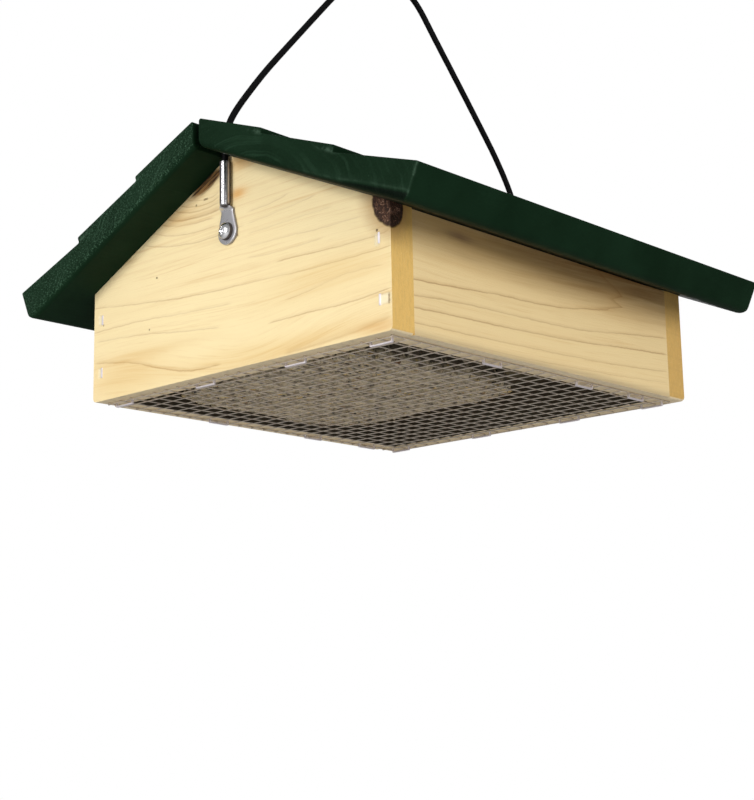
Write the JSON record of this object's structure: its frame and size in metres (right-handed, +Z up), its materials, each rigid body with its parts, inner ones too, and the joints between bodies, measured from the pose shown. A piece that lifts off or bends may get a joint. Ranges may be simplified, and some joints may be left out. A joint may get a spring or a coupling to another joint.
{
  "type": "hanging suet feeder",
  "caption": "Pine suet feeder with a mesh floor that birds cling to from below, under a green lap-milled roof that slides up its black cable hanger.",
  "frame": {"origin": "on the resting plane under the middle of the box, at the crowns of the mesh staples", "axes": "+X to the right along the front gable, +Y from the front gable to the rear one, +Z up"},
  "size_m": [0.2532, 0.2446, 0.2218],
  "materials": {
    "pine": "bare sanded softwood",
    "green_paint": "satin dark green paint over wood",
    "galvanised_wire": "dull galvanised",
    "staple_steel": "zinc plated",
    "suet": "waxy with seeds",
    "black_coating": "satin black coating",
    "lug_metal": "bright tinned",
    "screw_steel": "bright zinc"
  },
  "bodies": {
    "box": {"front_gable": "pine", "rear_gable": "pine", "left_side_wall": "pine", "right_side_wall": "pine", "mesh_floor": "galvanised_wire", "front_mesh_staples": "staple_steel", "rear_mesh_staples": "staple_steel", "left_mesh_staples": "staple_steel", "right_mesh_staples": "staple_steel", "front_gable_staples": "staple_steel", "rear_gable_staples": "staple_steel", "suet_cake": "suet", "hanger_cable": "black_coating", "front_lug": "lug_metal", "rear_lug": "lug_metal", "front_lug_screw": "screw_steel", "rear_lug_screw": "screw_steel"},
    "roof": {"left_roof_board": "green_paint", "right_roof_board": "green_paint", "ridge_cleat": "pine"}
  },
  "joints": [
    {"name": "roof_lift", "type": "slide", "parent": "box", "child": "roof", "axis": [0, 0, 1], "range_m": [0, 0.07]}
  ]
}
